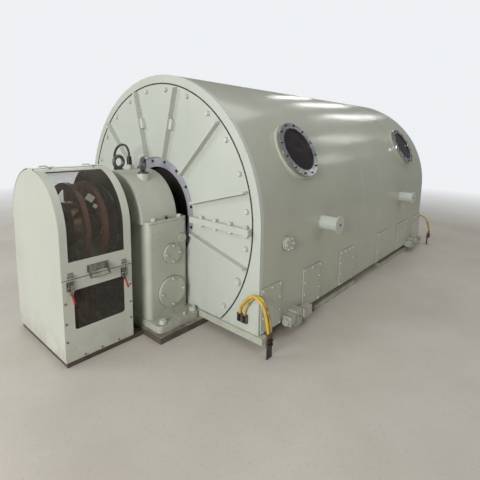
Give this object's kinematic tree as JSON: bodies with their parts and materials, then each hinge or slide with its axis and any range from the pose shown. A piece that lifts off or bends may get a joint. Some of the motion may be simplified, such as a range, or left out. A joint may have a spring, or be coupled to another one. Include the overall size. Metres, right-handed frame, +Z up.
{
  "type": "turbogenerator",
  "caption": "Air-cooled turbogenerator with an arched casing, ribbed end covers, pedestal bearings and a slip-ring hood with lift-up mesh doors.",
  "frame": {"origin": "floor level under the middle of the machine's box", "axes": "+Y along the shaft from the slip rings to the coupling, +Z up, +X to the right seen from the slip-ring end"},
  "size_m": [2.968, 6.03, 2.2568],
  "materials": {
    "paint": "pale grey-green semi-gloss paint",
    "seal_steel": "bare steel, violet-grey",
    "core_steel": "dark laminated steel",
    "winding": "brown-red insulating varnish",
    "ring_steel": "bare turned steel",
    "window": "dark clear glass",
    "floor_steel": "dark weathered steel",
    "earth_bar": "dark green-black paint",
    "lug_copper": "tarnished copper",
    "cable_jacket": "yellow cable jacket",
    "eye_steel": "galvanized steel",
    "fitting_steel": "dark steel",
    "conduit": "black flexible conduit",
    "hood_channel": "dark brown paint",
    "mesh_steel": "woven steel wire",
    "chrome": "polished",
    "grip_red": "red dipped grip",
    "rotor_steel": "turned steel",
    "slip_bronze": "bronze running surface",
    "insulation": "orange-brown varnish"
  },
  "bodies": {
    "frame": {"casing_shell": "paint", "front_end_plate": "paint", "rear_end_plate": "paint", "stator_core": "core_steel", "end_windings": "winding", "front_cover_upper": "paint", "front_cover_lower": "paint", "rear_cover_upper": "paint", "rear_cover_lower": "paint", "seal_rings": "seal_steel", "side_covers_right": "paint", "side_covers_left": "paint", "trunnions": "paint", "window_necks": "paint", "window_rings": "ring_steel", "window_glass": "window", "blank_ports": "paint", "foot_beams": "paint", "cross_bars": "paint", "sole_plates": "floor_steel", "jacking_blocks": "paint", "earth_bars": "earth_bar", "earth_lugs": "lug_copper", "earth_cables": "cable_jacket", "pedestal_soles": "floor_steel", "pedestal_subplates": "paint", "front_pedestal": "paint", "rear_pedestal": "paint", "front_bearing_cap": "paint", "rear_bearing_cap": "paint", "pedestal_covers": "paint", "eye_pads": "paint", "lifting_eyes": "eye_steel", "sensor_fittings": "fitting_steel", "sensor_conduit": "conduit", "hood_base": "hood_channel", "hood_ends": "paint", "hood_side_panels": "paint", "hood_lower_meshes": "mesh_steel", "latch_levers": "chrome", "latch_grips": "grip_red", "brush_gear": "insulation"},
    "rotor": {"rotor_shaft": "rotor_steel", "rotor_body": "rotor_steel", "slip_rings": "slip_bronze", "coupling_flange": "rotor_steel"},
    "door_right": {"hood_door_right": "paint", "door_mesh_right": "mesh_steel", "door_fittings_right": "chrome"},
    "door_left": {"hood_door_left": "paint", "door_mesh_left": "mesh_steel", "door_fittings_left": "chrome"}
  },
  "joints": [
    {"name": "rotor_spin", "type": "hinge", "parent": "frame", "child": "rotor", "pos_m": [0, 0, 0.957], "axis": [0, 1, 0], "continuous": true},
    {"name": "door_right_lift", "type": "hinge", "parent": "frame", "child": "door_right", "pos_m": [0.063, -2.735, 1.442], "axis": [0, -1, 0], "range_deg": [0, 85]},
    {"name": "door_left_lift", "type": "hinge", "parent": "frame", "child": "door_left", "pos_m": [-0.063, -2.735, 1.442], "axis": [0, 1, 0], "range_deg": [0, 85]}
  ]
}
